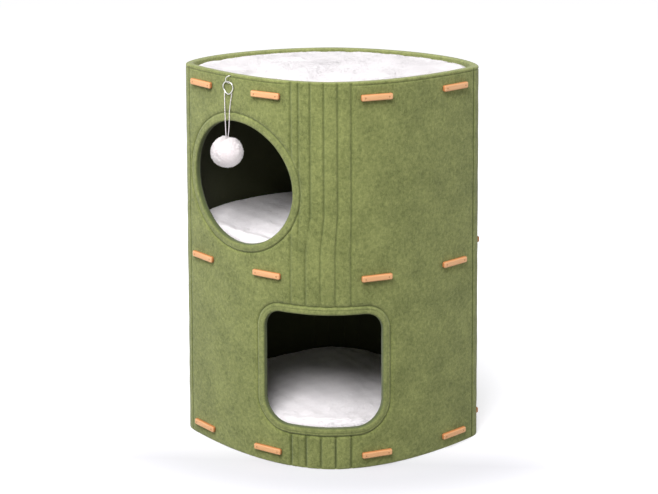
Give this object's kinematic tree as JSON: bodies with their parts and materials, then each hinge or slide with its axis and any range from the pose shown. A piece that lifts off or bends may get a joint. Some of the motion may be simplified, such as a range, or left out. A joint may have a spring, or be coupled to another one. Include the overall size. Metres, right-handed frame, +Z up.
{
  "type": "two-storey felt pet house",
  "caption": "Tall lens-shaped felt house for a small pet, with a round upper entrance, a rounded square doorway below, padded shelves, wooden fastening bars and a hanging pompom.",
  "frame": {"origin": "on the floor under the middle of the house", "axes": "+Z up, the entrances face -Y, +X to the right seen from the front"},
  "size_m": [0.4688, 0.2902, 0.6],
  "materials": {
    "felt": "mottled green felt",
    "board_felt": "green felt",
    "plush": "short white plush",
    "wood": "light wood, thin satin finish",
    "steel_wire": "bright wire",
    "yarn": "clipped white yarn"
  },
  "bodies": {
    "root": {"front_panel": "felt", "back_panel": "felt", "bottom_board": "board_felt", "bottom_pad": "plush", "bottom_front_bar_1": "wood", "bottom_front_bar_2": "wood", "bottom_front_bar_3": "wood", "bottom_front_bar_4": "wood", "bottom_back_bar_1": "wood", "bottom_back_bar_2": "wood", "bottom_back_bar_3": "wood", "bottom_back_bar_4": "wood", "middle_board": "board_felt", "middle_pad": "plush", "middle_front_bar_1": "wood", "middle_front_bar_2": "wood", "middle_front_bar_3": "wood", "middle_front_bar_4": "wood", "middle_back_bar_1": "wood", "middle_back_bar_2": "wood", "middle_back_bar_3": "wood", "middle_back_bar_4": "wood", "top_board": "board_felt", "top_pad": "plush", "top_front_bar_1": "wood", "top_front_bar_2": "wood", "top_front_bar_3": "wood", "top_front_bar_4": "wood", "top_back_bar_1": "wood", "top_back_bar_2": "wood", "top_back_bar_3": "wood", "top_back_bar_4": "wood", "hanging_loop": "steel_wire", "pear_ring": "steel_wire", "string_left": "yarn", "string_right": "yarn", "pompom": "yarn"}
  },
  "joints": []
}
